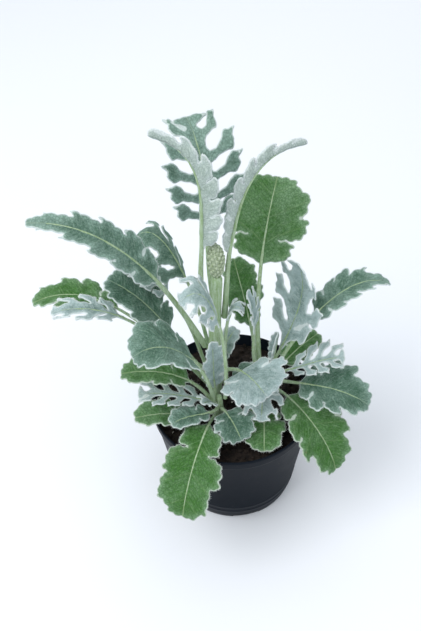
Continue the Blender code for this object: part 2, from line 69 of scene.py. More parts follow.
# Shader helpers
class Sock:
    # one shader output that can be added, multiplied and so on
    def __init__(self, tree, link):
        self.tree = tree
        self.link = link

    def calc(self, operation, *others):
        node = self.tree.nodes.new("ShaderNodeMath")
        node.operation = operation
        for slot, value in zip(node.inputs, (self, *others)):
            if isinstance(value, Sock):
                self.tree.links.new(value.link, slot)
            else:
                slot.default_value = value
        return Sock(self.tree, node.outputs[0])

    def __add__(self, other):
        return self.calc("ADD", other)

    def __sub__(self, other):
        return self.calc("SUBTRACT", other)

    def __mul__(self, other):
        return self.calc("MULTIPLY", other)

    def __radd__(self, other):
        return self + other

    def __rsub__(self, other):
        return self * -1.0 + other

    def __rmul__(self, other):
        return self * other

    def fade(self, low, high):
        # 0 at low, 1 at high, smooth between; low may be above high
        node = self.tree.nodes.new("ShaderNodeMapRange")
        node.interpolation_type = "SMOOTHSTEP"
        self.tree.links.new(self.link, node.inputs["Value"])
        node.inputs["From Min"].default_value = min(low, high)
        node.inputs["From Max"].default_value = max(low, high)
        node.inputs["To Min"].default_value = 0.0 if low < high else 1.0
        node.inputs["To Max"].default_value = 1.0 if low < high else 0.0
        return Sock(self.tree, node.outputs[0])


class Paint:
    # a material being made: its tree, its shader and any node by name
    def __init__(self, name, roughness):
        self.material = bpy.data.materials.new(name)
        self.material.use_nodes = True
        self.tree = self.material.node_tree
        self.shader = self.tree.nodes["Principled BSDF"]
        self.shader.inputs["Roughness"].default_value = roughness
        self.shader.inputs["Specular IOR Level"].default_value = 0.3

    def add(self, kind, inputs=None, output=0, **settings):
        node = self.tree.nodes.new("ShaderNode" + kind)
        for key, value in settings.items():
            setattr(node, key, value)
        for key, value in (inputs or {}).items():
            if isinstance(value, Sock):
                self.tree.links.new(value.link, node.inputs[key])
            else:
                node.inputs[key].default_value = value
        return Sock(self.tree, node.outputs[output])

    def blend(self, share, first, second):
        # colours mixed by a share from 0 to 1
        node = self.tree.nodes.new("ShaderNodeMix")
        node.data_type = "RGBA"
        for slot, value in ((node.inputs[0], share), (node.inputs[6], first), (node.inputs[7], second)):
            if isinstance(value, Sock):
                self.tree.links.new(value.link, slot)
            else:
                slot.default_value = (*value, 1.0) if isinstance(value, tuple) else value
        return Sock(self.tree, node.outputs[2])

    def noise(self, place, scale, detail=3.0, rough=0.55):
        return self.add("TexNoise", {"Vector": place, "Scale": scale, "Detail": detail, "Roughness": rough})

    def finish(self, colour, height=None, strength=0.4, distance=0.0004, roughness=None):
        self.tree.links.new(colour.link, self.shader.inputs["Base Color"])
        if roughness is not None:
            self.tree.links.new(roughness.link, self.shader.inputs["Roughness"])
        if height is not None:
            bump = self.add("Bump", {"Height": height, "Strength": strength, "Distance": distance})
            self.tree.links.new(bump.link, self.shader.inputs["Normal"])
        return self.material


def leafPaint(name, look):
    # a leaf's face: felt over green, pale veins, a white hairy edge and a fine puckered net whose creases
    # get painted shade
    paint = Paint(name, 0.88)
    place = paint.add("UVMap", uv_map="leafPlan")  # along and across the blade, in centimetres
    across = paint.add("Attribute", output=2, attribute_name="across", attribute_type="GEOMETRY")
    phase = paint.add("Attribute", output=2, attribute_name="phase", attribute_type="GEOMETRY")
    edge = paint.add("Attribute", output=2, attribute_name="edge", attribute_type="GEOMETRY")
    spot = paint.add("TexCoord", output=3)
    cloudy = paint.noise(spot, 55.0, 4.0)
    mottled = paint.noise(spot, 420.0, 3.0, 0.65)
    felt = paint.noise(spot, 2600.0, 2.0, 0.7)
    net = paint.add("TexVoronoi", {"Vector": place, "Scale": look["net"]}, feature="DISTANCE_TO_EDGE")
    net = net.fade(0.16, 0.0)
    side = (phase.calc("FRACT") - 0.5).calc("ABSOLUTE")
    side = side.fade(0.43, 0.495)
    rib = across.fade(look["rib"], look["rib"] * 0.4)
    aside = across * 0.1
    along = paint.add("SeparateXYZ", {0: place}, output=0)
    sweepOut = along - aside * 0.85  # fine veins fan out from the rib towards the edge
    streaks = paint.add("CombineXYZ", {0: sweepOut * 9.0, 1: aside * 2.4, 2: phase * 0.7})
    streaks = paint.noise(streaks, 1.0, 3.0, 0.6).fade(0.48, 0.74)
    vein = rib.calc("MAXIMUM", side * look["sideVein"])
    tone = paint.noise(spot, 14.0, 1.0)
    uneven = (cloudy - 0.5) + 0.8 * (mottled - 0.5) + 0.9 * (felt - 0.5) + 0.8 * (tone - 0.5)
    cover = uneven + look["felt"]
    cover = (cover + edge.fade(4.5, 0.0) * look["margin"]).fade(0.05, 0.95)
    colour = paint.blend(cover, look["green"], look["silver"])
    # painted shade: the creases of the puckered net are darkened in the colour
    colour = paint.blend(net * look["netShare"], colour, look["netColour"])
    colour = paint.blend(streaks * look["streakShare"], colour, look["streak"])
    colour = paint.blend(vein * look["veinShare"], colour, look["vein"])
    blemish = paint.noise(spot, 120.0, 2.0).fade(0.72, 0.80)
    colour = paint.blend(blemish * look["blemish"], colour, (0.13, 0.105, 0.04))
    fringe = edge.fade(look["fringe"], 0.1) * (felt * 0.7 + 0.5)
    colour = paint.blend(fringe * 0.9, colour, look["edge"])
    height = 0.35 * (streaks + felt) + 0.5 * mottled - 0.6 * (net + side) - 0.7 * rib
    return paint.finish(colour, height, 0.7, 0.0007)


def stalkPaint(name, look):
    # a stalk or shoot: pale green with white felt in long streaks
    paint = Paint(name, 0.8)
    spot = paint.add("TexCoord", output=3)
    felt = paint.noise(spot, 1800.0, 3.0, 0.7)
    streak = paint.add("Mapping", {"Vector": spot, "Scale": (1.0, 1.0, 0.12)})
    streak = paint.noise(streak, 900.0, 2.0)
    cover = ((felt - 0.5) * 0.9 + (streak - 0.5) * 0.9 + look["felt"]).fade(0.1, 0.9)
    colour = paint.blend(cover, look["green"], look["silver"])
    return paint.finish(colour, felt * 0.6 + streak * 0.5, 0.4, 0.0003)


def hairPaint():
    paint = Paint("whiteHairs", 0.7)
    spot = paint.add("TexCoord", output=3)
    shade = paint.noise(spot, 300.0)
    return paint.finish(paint.blend(shade, (0.66, 0.74, 0.73), (0.93, 0.96, 0.94)))


# in each look, the darker net colour and its share are painted shade for the creases of the puckered net
looks = {
    "silver_felt": dict(green=(0.10, 0.18, 0.15), silver=(0.44, 0.56, 0.56), felt=0.60, margin=0.35,
                        net=6.0, netShare=0.3, netColour=(0.15, 0.24, 0.22), streak=(0.62, 0.72, 0.72),
                        streakShare=0.4, rib=0.7, sideVein=0.25, veinShare=0.4, vein=(0.48, 0.58, 0.53),
                        blemish=0.0, edge=(0.76, 0.83, 0.82), fringe=1.0),
    "teal_felt": dict(green=(0.045, 0.12, 0.07), silver=(0.26, 0.39, 0.33), felt=0.46, margin=0.35,
                      net=5.6, netShare=0.4, netColour=(0.03, 0.08, 0.055), streak=(0.36, 0.50, 0.42),
                      streakShare=0.35, rib=0.65, sideVein=0.16, veinShare=0.45,
                      vein=(0.33, 0.46, 0.35), blemish=0.15, edge=(0.70, 0.79, 0.77), fringe=0.9),
    "green_leaf": dict(green=(0.05, 0.16, 0.028), silver=(0.19, 0.33, 0.18), felt=0.36, margin=0.42,
                       net=5.2, netShare=0.45, netColour=(0.02, 0.075, 0.018),
                       streak=(0.25, 0.40, 0.21), streakShare=0.35, rib=0.7, sideVein=0.18,
                       veinShare=0.55, vein=(0.34, 0.48, 0.24), blemish=0.55, edge=(0.62, 0.71, 0.62),
                       fringe=0.9),
}
facePaints = {name: leafPaint(name + "_face", look) for name, look in looks.items()}
backPaints = {}
for name, look in looks.items():  # the underside: duller and yellower, with the veins standing out
    under = dict(look, felt=look["felt"] + 0.08, veinShare=0.7, sideVein=0.5)
    under["green"] = tuple(c * 1.1 + extra for c, extra in zip(look["green"], (0.06, 0.05, 0.02)))
    under["silver"] = tuple(c + extra for c, extra in zip(look["silver"], (0.06, 0.03, -0.02)))
    backPaints[name] = leafPaint(name + "_back", under)
stalkLook = dict(green=(0.20, 0.32, 0.11), silver=(0.46, 0.58, 0.43), felt=0.52)
stalkMaterial = stalkPaint("paleStalk", stalkLook)
budLook = dict(green=(0.25, 0.33, 0.17), silver=(0.52, 0.59, 0.46), felt=0.55)
budMaterial = stalkPaint("budFelt", budLook)
hairMaterial = hairPaint()
print("materials made")


# The shoots, in millimetres from the pot's axis
shoots = {
    "main_stem": dict(x=-12.0, y=6.0, foot=4.6, top=4.0, height=206.0, lean=(4.0, 2.0)),
    "front_shoot": dict(x=-10.0, y=-14.0, foot=3.8, top=2.2, height=112.0, lean=(0.0, 0.0)),
    "right_shoot": dict(x=24.0, y=8.0, foot=3.8, top=2.2, height=116.0, lean=(0.0, 0.0)),
}
soilTop = 87.0
rootDepth = 26.0


def shootAxis(name, height):
    shoot = shoots[name]
    share = max(0.0, (height - soilTop) / (shoot["height"] - soilTop))
    x = shoot["x"] + shoot["lean"][0] * share ** 2
    y = shoot["y"] + shoot["lean"][1] * share ** 2
    return Vector((x, y, height)), shoot["foot"] + (shoot["top"] - shoot["foot"]) * share


def addObject(name, mesh, *materials):
    made = bpy.data.objects.new(name, mesh)
    scene.collection.objects.link(made)
    for material in materials:
        mesh.materials.append(material)
    return made


def pickOnly(obj):
    bpy.ops.object.select_all(action="DESELECT")
    obj.select_set(True)
    bpy.context.view_layer.objects.active = obj


def applyAll(obj):
    pickOnly(obj)
    for modifier in list(obj.modifiers):
        bpy.ops.object.modifier_apply(modifier=modifier.name)


def joinInto(obj, *others):
    pickOnly(obj)
    for other in others:
        other.select_set(True)
    bpy.ops.object.join()


def settle(piece, node, slot):
    # the piece stands for its CAD node
    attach(piece, "root")
    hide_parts(node)


def sweep(name, path, radii, sides, material):
    # a round tube through the points, from a curve
    curve = bpy.data.curves.new(name, "CURVE")
    curve.dimensions = "3D"
    curve.bevel_depth = mm
    curve.bevel_resolution = sides
    curve.use_fill_caps = True
    line = curve.splines.new("POLY")
    line.points.add(len(path) - 1)
    for point, place, radius in zip(line.points, path, radii):
        point.co = (*((place + potAxis) * mm), 1.0)
        point.radius = radius
    made = bpy.data.objects.new(name, curve)
    scene.collection.objects.link(made)
    pickOnly(made)
    bpy.ops.object.convert(target="MESH")
    made = bpy.context.view_layer.objects.active
    made.data.materials.append(material)
    bpy.ops.object.shade_smooth()
    return made


# Leaves
forms = {
    "fern": dict(lobes=5, depth=0.78, belly=0.46, full=0.50, lean=0.60, teeth=3, wander=0.05),
    "frill": dict(lobes=7, depth=0.60, belly=0.46, full=0.45, lean=0.50, teeth=1, wander=0.07),
    "long": dict(lobes=5, depth=0.34, belly=0.36, full=0.70, lean=0.35, teeth=1, wander=0.06),
    "lace": dict(lobes=4, depth=0.80, belly=0.52, full=0.50, lean=0.60, teeth=3, wander=0.06),
    "cut": dict(lobes=3, depth=0.58, belly=0.50, full=0.60, lean=0.45, teeth=3, wander=0.07),
    "oak": dict(lobes=4, depth=0.30, belly=0.48, full=0.62, lean=0.30, teeth=1, wander=0.07),
    "broad": dict(lobes=3, depth=0.24, belly=0.56, full=0.50, lean=0.20, teeth=2, wander=0.05),
    "round": dict(lobes=3, depth=0.09, belly=0.54, full=0.45, lean=0.10, teeth=1, wander=0.03),
}
lobeShapes = {
    1: ((-0.50, 0.0, 0.0), (-0.42, 0.4, 0.62), (-0.18, 0.9, 0.94), (0.10, 1.0, 1.0), (0.34, 0.8, 0.72),
        (0.44, 0.2, 0.26)),
    2: ((-0.50, 0.0, 0.0), (-0.44, 0.3, 0.55), (-0.26, 0.8, 0.90), (-0.06, 0.9, 0.84), (0.10, 1.0, 1.0),
        (0.30, 0.8, 0.76), (0.42, 0.3, 0.30)),
    3: ((-0.30, 0.0, 0.0), (-0.17, 0.4, 0.46), (-0.37, 0.8, 0.74), (-0.25, 1.2, 0.88), (-0.05, 1.2, 0.85),
        (0.08, 1.5, 1.0), (0.24, 1.2, 0.80), (0.37, 1.0, 0.62), (0.15, 0.5, 0.34), (0.27, 0.0, 0.02)),
}
scallops = dict(fern=0.5, frill=0.7, long=0.9, lace=0.3, cut=0.7, oak=1.1, broad=1.3, round=1.0)
# mesh steps and thickness, the stalk, the hairs, and the relief of a blade, in millimetres or shares
fine = dict(grid=1.5, rowStep=0.87, rimClear=0.45, edgeStep=0.9, thickness=0.75, spineSteps=60,
            stalkPoints=26, ribEnd=0.86, stalkTaper=0.38, ribTaper=0.72, veinLean=0.55,
            hairStep=0.4, hairLength=1.5, hairWide=0.05, stalkHairs=7, scallopRun=6.5,
            pucker=0.8, groove=0.7, grooveWide=1.1, dimple=0.45, sway=1.4, frill=1.0)


def heading(azimuth, slope):
    a, e = math.radians(azimuth), math.radians(slope)
    return Vector((math.cos(a) * math.cos(e), math.sin(a) * math.cos(e), math.sin(e)))


class Spine:
    # the line of a leaf's stalk and rib
    def __init__(self, spec):
        self.spec = spec
        axis, radius = shootAxis(spec["shoot"], spec["height"])
        clear = radius + gap + spec["stem"] * math.sin(math.radians(abs(spec["lift"])))
        start = axis + heading(spec["azimuth"] + spec["out"], 0.0) * clear
        end = axis + heading(spec["azimuth"], 0.0) * spec["reach"] + Vector((0.0, 0.0, spec["rise"]))
        pull = 0.38 * (end - start).length
        bendIn = start + heading(spec["azimuth"] + spec["out"], spec["lift"]) * pull
        bendOut = end - heading(spec["azimuth"] + spec["turn"], spec["droop"]) * pull
        self.steps = fine["spineSteps"]
        self.points = []
        for step in range(self.steps + 1):
            t = step / self.steps
            s = 1.0 - t
            point = start * s ** 3 + bendIn * 3 * s * s * t + bendOut * 3 * s * t * t + end * t ** 3
            self.points.append(point)
        self.lengths = [0.0]
        for a, b in zip(self.points, self.points[1:]):
            self.lengths.append(self.lengths[-1] + (b - a).length)
        self.total = self.lengths[-1]

    def at(self, distance):
        distance = min(max(distance, 0.0), self.total)
        step = min(int(np.searchsorted(self.lengths, distance, side="right")) - 1, self.steps - 1)
        part = (distance - self.lengths[step]) / (self.lengths[step + 1] - self.lengths[step])
        place = self.points[step].lerp(self.points[step + 1], part)
        near = (self.points[step + 1] - self.points[max(step - 1, 0)]).normalized()
        far = (self.points[min(step + 2, self.steps)] - self.points[step]).normalized()
        along = near.lerp(far, part).normalized()
        share = distance / self.total
        spec = self.spec
        level = math.radians(spec["azimuth"] + spec["turn"] * share)
        side = Vector((math.sin(level), -math.cos(level), 0.0))
        side = (side - along * side.dot(along)).normalized()
        face = side.cross(along)
        turn = math.radians(spec["roll"])
        rolled = side * math.cos(turn) + face * math.sin(turn)
        return place, along, rolled, rolled.cross(along)


def envelope(form, share):
    bent = share ** (math.log(0.5) / math.log(form["belly"]))
    return math.sin(math.pi * min(max(bent, 0.0), 1.0)) ** form["full"]


def halfOutline(form, length, wide, stem, shift, chance):
    # one side of the blade, from foot to tip, as (along, across)
    lobes = form["lobes"]
    spacing = length / (lobes + 0.75)
    points = [(0.0, stem * 0.8)]
    for number in range(lobes):
        middle = spacing * (number + 0.62 + shift + chance.uniform(-form["wander"], form["wander"]))
        outer = wide * envelope(form, min(middle / length + 0.06, 0.97))
        outer *= 1.0 + chance.uniform(-1.5, 1.0) * form["wander"]
        root = wide * envelope(form, min(max(middle - 0.5 * spacing, 0.02 * length) / length, 0.97))
        inner = max(root * (1.0 - form["depth"]), stem)
        lean = form["lean"] * spacing
        points += [(middle + across * spacing + forward * lean, inner + (outer - inner) * height)
                   for across, forward, height in lobeShapes[form["teeth"]]]
    end = wide * envelope(form, 0.93)
    cut = max(wide * envelope(form, 0.86) * (1.0 - form["depth"]), stem)
    points += [(length * 0.90, cut), (length * 0.955, end * 0.95), (length * 0.99, end * 0.5)]
    kept = [points[0]]
    for point in points[1:]:
        if math.dist(point, kept[-1]) > 1.0 and point[1] > 0.6:
            kept.append(point)
    return kept


def rounded(ring, step):
    # the outline's corners rounded, in even steps
    points = []
    count = len(ring)
    for i in range(count):
        a, b, c, d = (np.array(ring[(i + k) % count]) for k in (-1, 0, 1, 2))
        parts = max(2, int(math.dist(b, c) / step))
        for k in range(parts):
            t = k / parts
            points.append(tuple(0.5 * (2 * b + (c - a) * t * 0.9 + (2 * a - 5 * b + 4 * c - d) * t * t * 0.9
                                       + (3 * b - a - 3 * c + d) * t ** 3 * 0.9
                                       + 0.1 * 2 * (c - b) * t)))
    return points


def scalloped(ring, depth):
    # small round scallops along the rim, calmer at the stalk
    points = np.array(ring)
    before = np.roll(points, 1, axis=0)
    run = np.roll(points, -1, axis=0) - before
    out = np.stack((-run[:, 1], run[:, 0]), axis=1) / np.maximum(np.linalg.norm(run, axis=1), 1e-6)[:, None]
    travel = np.cumsum(np.linalg.norm(points - before, axis=1))
    turns = round(travel[-1] / fine["scallopRun"])
    wave = np.abs(np.sin(np.pi * turns * travel / travel[-1])) - 0.6
    calm = np.clip(points[:, 0] / 8.0, 0.0, 1.0)
    return [tuple(p) for p in points + out * (depth * wave * calm)[:, None]]


def insideRing(points, ring):
    x, y = points[:, 0], points[:, 1]
    odd = np.zeros(len(points), bool)
    for (x0, y0), (x1, y1) in zip(ring, ring[1:] + ring[:1]):
        if y0 != y1:
            odd ^= ((y0 > y) != (y1 > y)) & (x < x0 + (y - y0) / (y1 - y0) * (x1 - x0))
    return odd


def edgeDistance(points, ring):
    best = np.full(len(points), 1e9)
    corners = np.array(ring)
    for a, b in zip(corners, np.roll(corners, -1, axis=0)):
        run = b - a
        share = np.clip(((points - a) @ run) / max(run @ run, 1e-9), 0.0, 1.0)
        best = np.minimum(best, np.linalg.norm(points - a - share[:, None] * run, axis=1))
    return best


def largestIsland(faces):
    owners = {}
    for number, face in enumerate(faces):
        for i in range(3):
            owners.setdefault(frozenset((face[i], face[i - 1])), []).append(number)
    links = [set() for face in faces]
    for pair in owners.values():
        for number in pair:
            links[number].update(pair)
    best, waiting = [], set(range(len(faces)))
    while waiting:
        island, front = set(), [waiting.pop()]
        while front:
            number = front.pop()
            island.add(number)
            fresh = links[number] & waiting
            waiting -= fresh
            front += fresh
        best = max(best, sorted(island), key=len)
    return [faces[number] for number in best]


def growLeaf(spec):
    # the blade, its stalk and rib, and the white hairs of its edge, as one piece
    name = spec["node"]
    luck = random.Random(name + "_hairs")
    spine = Spine(spec)
    foot = spine.total * spec["stalk"]
    length = spine.total - foot
    form = forms[spec["form"]]
    chance = random.Random(name)  # the same draw as the CAD leaf's
    right = halfOutline(form, length, spec["wide"], spec["stem"], 0.0, chance)
    left = halfOutline(form, length, spec["wide"], spec["stem"], 0.12, chance)
    ring = rounded(right + [(length, 0.0)] + [(u, -v) for u, v in reversed(left)], fine["edgeStep"])
    ring = scalloped(ring, scallops[spec["form"]])
    step = fine["grid"]
    grid = []
    rowStep = step * fine["rowStep"]
    for row in range(1, int(length / rowStep)):
        for column in range(-int(spec["wide"] / step) - 2, int(spec["wide"] / step) + 3):
            jitter = 0.0 if column == 0 else 0.5 * step * (row % 2) * math.copysign(1, column)
            grid.append((row * rowStep, column * step + jitter))
    grid = np.array(grid)
    grid = grid[insideRing(grid, ring)]
    grid = grid[edgeDistance(grid, ring) > step * fine["rimClear"]]
    flat = [Vector(p) for p in ring] + [Vector(p) for p in grid]
    flat, _, faces, *_ = delaunay_2d_cdt(flat, [], [list(range(len(ring)))], 1, 1e-5)
    faces = largestIsland(faces)
    plan = np.array([(p.x, p.y) for p in flat])
    edge = edgeDistance(plan, ring)
    spacing = length / (form["lobes"] + 0.75)
    # the side veins lie where the phase is a whole number
    phase = (plan[:, 0] - np.abs(plan[:, 1]) * fine["veinLean"]) / spacing + 0.55 + 0.5
    shape = bmesh.new()
    acrossLayer = shape.verts.layers.float.new("across")
    phaseLayer = shape.verts.layers.float.new("phase")
    edgeLayer = shape.verts.layers.float.new("edge")
    planLayer = shape.loops.layers.uv.new("leafPlan")
    seed = luck.uniform(0.0, 50.0)
    fold = math.radians(spec["fold"])
    verts = []
    for number, (u, v) in enumerate(plan):
        place, _, side, face = spine.at(foot + u)
        share = abs(v) / spec["wide"]
        lift = abs(v) * math.sin(fold)
        inner = min(edge[number] / 2.5, 1.0)
        swell = math.cos(math.pi * 2 * (phase[number] % 1.0)) * min(share * 2.5, 1.0)
        lift += inner * (fine["pucker"] * swell - fine["groove"] * math.exp(-(v / fine["grooveWide"]) ** 2))
        lift += fine["dimple"] * inner * noise.noise(Vector((u * 0.36, v * 0.36, seed)))
        lift += fine["sway"] * noise.noise(Vector((u * 0.07, v * 0.09, seed + 9.0))) * share
        rimWave = noise.noise(Vector((u * 0.16, v * 0.16, seed + 3.0))) * share
        lift += fine["frill"] * (1.0 - 0.8 * inner) * rimWave
        spot = place + side * v * math.cos(fold) + face * lift
        vert = shape.verts.new((spot + potAxis) * mm)
        vert[acrossLayer] = abs(v)
        vert[phaseLayer] = phase[number]
        vert[edgeLayer] = edge[number]
        verts.append(vert)
    for corners in faces:
        made = shape.faces.new([verts[i] for i in reversed(corners)])
        made.smooth = True
        for loop, i in zip(made.loops, reversed(corners)):
            loop[planLayer].uv = plan[i] * 0.1
    bmesh.ops.delete(shape, geom=[v for v in shape.verts if not v.link_faces], context="VERTS")
    rim = [(e.verts[0].co.copy(), e.verts[1].co.copy(), e.link_faces[0].calc_center_median())
           for e in shape.edges if e.is_boundary]
    mesh = bpy.data.meshes.new(name)
    shape.to_mesh(mesh)
    shape.free()
    blade = addObject(name + "_blade", mesh, facePaints[spec["skin"]], backPaints[spec["skin"]])
    thick = blade.modifiers.new("thickness", "SOLIDIFY")
    thick.thickness = fine["thickness"] * mm
    thick.offset = 0.0
    thick.material_offset = 1
    applyAll(blade)
    ribEnd = foot + length * fine["ribEnd"]
    path, radii = [], []
    for step in range(fine["stalkPoints"] + 1):
        distance = ribEnd * step / fine["stalkPoints"]
        place, _, _, face = spine.at(distance)
        under = max(0.0, distance - foot) / max(ribEnd - foot, 1.0)
        risen = min(1.0, distance / max(foot, 1.0))
        radius = spec["stem"] * (1.0 - fine["stalkTaper"] * risen) * (1.0 - fine["ribTaper"] * under)
        path.append(place - face * (radius * 0.55 + 0.15) * min(1.0, 5 * under))
        radii.append(radius)
    stalk = sweep(name + "_stalk", path, radii, 3, stalkMaterial)
    shape = bmesh.new()  # the fringe: flat white hairs that stand out from the rim
    for a, b, middle in rim:
        run = b - a
        out = (a + b) / 2 - middle
        out = (out - run * (out.dot(run) / max(run.length_squared, 1e-12))).normalized()
        normal = run.cross(out).normalized()
        for k in range(max(1, round(run.length / mm / fine["hairStep"]))):
            root = a.lerp(b, luck.random())
            reach = fine["hairLength"] * luck.uniform(0.4, 1.0) * mm
            tip = root + (out + run.normalized() * luck.uniform(-0.7, 0.9)
                          + normal * luck.uniform(-0.6, 0.6)).normalized() * reach
            wide = run.normalized() * fine["hairWide"] * mm
            shape.faces.new([shape.verts.new(p) for p in (root - wide, root + wide, tip)])
    for k in range(int(foot * fine["stalkHairs"])):  # and short ones all round the stalk
        place, along, side, face = spine.at(luck.uniform(1.0, foot))
        angle = luck.uniform(0.0, math.tau)
        out = side * math.cos(angle) + face * math.sin(angle)
        root = (place + potAxis + out * spec["stem"] * 0.6) * mm
        tip = root + (out + along * luck.uniform(-0.5, 0.8)) * luck.uniform(0.9, 1.5) * mm
        wide = along.cross(out) * 0.9 * fine["hairWide"] * mm
        shape.faces.new([shape.verts.new(p) for p in (root - wide, root + wide, tip)])
    mesh = bpy.data.meshes.new(name + "_hairs")
    shape.to_mesh(mesh)
    shape.free()
    hairs = addObject(name + "_hairs", mesh, hairMaterial)
    joinInto(blade, stalk, hairs)
    blade.name = name + "_fine"
    settle(blade, name, spec["skin"])
    return blade


def leaf(node, shoot, height, azimuth, reach, rise, lift, droop, form, wide, skin, stalk=0.3, out=0.0,
         turn=0.0, roll=0.0, fold=10.0, stem=1.6):
    # shoot, height: where the stalk leaves its shoot; azimuth, reach, rise: where the tip is from there
    # lift, droop: the slope at the foot and the tip; out, turn: the headings there, from the azimuth
    # wide: half the blade; stalk: the bare share of the length; roll, fold: the blade and its halves turned
    growLeaf(dict(locals()))


# The tall leaves of the main stem
leaf("tall_back_leaf", "main_stem", 186, 105, 46, 107, 62, 22, "fern", 27, "teal_felt", stalk=0.40,
     turn=8, stem=2.0)
leaf("tall_front_leaf", "main_stem", 176, 172, 32, 130, 80, 4, "frill", 13, "silver_felt", stalk=0.38,
     turn=-12, roll=-50, fold=30, stem=2.2)
leaf("tall_right_leaf", "main_stem", 168, 17, 59, 120, 85, -8, "frill", 9, "silver_felt", stalk=0.38,
     roll=50, fold=34, stem=2.2)
leaf("long_left_leaf", "main_stem", 143, 182, 105, 116, 70, -12, "long", 14, "teal_felt", stalk=0.44,
     turn=-16, roll=20, stem=2.2)
leaf("hooded_left_leaf", "main_stem", 126, 149, 57, 90, 80, -56, "cut", 25, "teal_felt", stalk=0.52,
     out=-30, turn=28, fold=-18)
leaf("lace_left_leaf", "main_stem", 98, 158, 62, 110, 52, 27, "lace", 15, "silver_felt", stalk=0.66,
     out=-40)
# The leaves at the back and right
leaf("back_big_leaf", "right_shoot", 106, 79, 64, 129, 82, 34, "broad", 30, "green_leaf", stalk=0.60,
     turn=-10, out=44, stem=2.0)
leaf("back_mid_leaf", "right_shoot", 98, 114, 47, 85, 68, 54, "broad", 15, "green_leaf", stalk=0.46)
leaf("arched_centre_leaf", "front_shoot", 110, 190, 22, 99, 84, -50, "cut", 18, "silver_felt",
     stalk=0.60, out=165, roll=12, fold=-10)
leaf("right_tall_leaf", "right_shoot", 108, 33, 25, 93, 58, 116, "cut", 25, "silver_felt", stalk=0.20)
leaf("right_pale_leaf", "right_shoot", 107, 165, 13, 80, 74, 70, "cut", 13, "silver_felt", stalk=0.52)
leaf("right_long_leaf", "right_shoot", 103, 14, 90, 68, 66, -34, "long", 15, "teal_felt", stalk=0.50,
     turn=-8)
leaf("right_low_back_leaf", "right_shoot", 98, 34, 52, 18, 30, 0, "broad", 14, "green_leaf", stalk=0.3)
leaf("right_lace_leaf", "right_shoot", 108, 352, 56, 22, 12, 6, "lace", 16, "silver_felt", stalk=0.24)
leaf("right_mid_leaf", "right_shoot", 103, 334, 78, 5, 10, -30, "oak", 25, "teal_felt", stalk=0.32)
leaf("right_low_leaf", "right_shoot", 97, 308, 75, -29, 37, -76, "oak", 24, "green_leaf", stalk=0.24)
# The middle
leaf("fan_leaf", "main_stem", 118, 312, 51, 12, 42, -34, "broad", 27, "silver_felt", stalk=0.42,
     out=24)
leaf("under_fan_leaf", "right_shoot", 106, 262, 42, 0, 26, -40, "cut", 16, "silver_felt", stalk=0.18)
leaf("front_soil_leaf", "right_shoot", 95, 265, 58, -2, 8, -10, "round", 15, "green_leaf", stalk=0.36)
leaf("front_centre_leaf", "front_shoot", 102, 295, 33, -3, 32, -40, "broad", 16, "teal_felt",
     stalk=0.2)
leaf("centre_grey_leaf", "main_stem", 97, 44, 24, 44, 80, 0, "round", 8, "silver_felt", stalk=0.5)
leaf("centre_dark_leaf", "main_stem", 92, 348, 30, 26, 70, -6, "round", 11, "teal_felt", stalk=0.40)
leaf("young_leaf", "right_shoot", 113, 20, 10, 34, 76, 84, "round", 5, "silver_felt", stalk=0.15,
     fold=50)
# The left side
leaf("front_left_leaf", "front_shoot", 97, 246, 72, -32, 44, -74, "broad", 22, "green_leaf",
     stalk=0.20)
leaf("front_left_pale_leaf", "front_shoot", 102, 212, 40, 8, 30, -16, "round", 10, "teal_felt",
     stalk=0.28, out=35)
leaf("left_low_green_leaf", "front_shoot", 94, 192, 61, 14, 10, -6, "broad", 13, "green_leaf",
     stalk=0.3)
leaf("left_mid_green_leaf", "front_shoot", 101, 178, 66, 38, 58, -14, "broad", 14, "green_leaf",
     stalk=0.36, out=-30)
leaf("left_lace_leaf", "front_shoot", 106, 182, 56, 15, 20, -6, "lace", 14, "silver_felt", stalk=0.15)
leaf("left_front_big_leaf", "front_shoot", 109, 200, 56, 70, 88, -32, "broad", 24, "teal_felt",
     stalk=0.50)
leaf("left_teal_leaf", "main_stem", 112, 168, 69, 85, 52, 14, "broad", 20, "teal_felt", stalk=0.46,
     turn=-12)
leaf("left_white_leaf", "main_stem", 118, 184, 103, 72, 46, -14, "cut", 13, "silver_felt", stalk=0.62)
leaf("left_far_green_leaf", "main_stem", 104, 172, 122, 72, 62, -24, "oak", 15, "green_leaf",
     stalk=0.60, out=16, turn=20)
leaf("small_grey_leaf", "main_stem", 116, 350, 21, 62, 86, -60, "cut", 8, "silver_felt", stalk=0.70,
     out=20)
leaf("crown_white_leaf", "front_shoot", 107, 228, 18, 14, 46, 10, "cut", 8, "silver_felt", stalk=0.25,
     out=5, stem=1.2)
leaf("upright_grey_leaf", "front_shoot", 107, 118, 6, 56, 80, 86, "oak", 10, "silver_felt", stalk=0.16)
print("leaves grown")


# Shoots and bud
for name, shoot in shoots.items():
    rows = 60
    foot = soilTop - rootDepth
    heights = [foot + (shoot["height"] - foot) * k / rows for k in range(rows + 1)]
    path, radii = zip(*(shootAxis(name, height) for height in heights))
    radii = [r * (1.0 + 0.05 * noise.noise(Vector((h * 0.15, 3.0, 1.0)))) for r, h in zip(radii, heights)]
    radii[-1] *= 0.7
    stem = sweep(name + "_fine", path, radii, 6, stalkMaterial)
    settle(stem, name, "stem_felt")

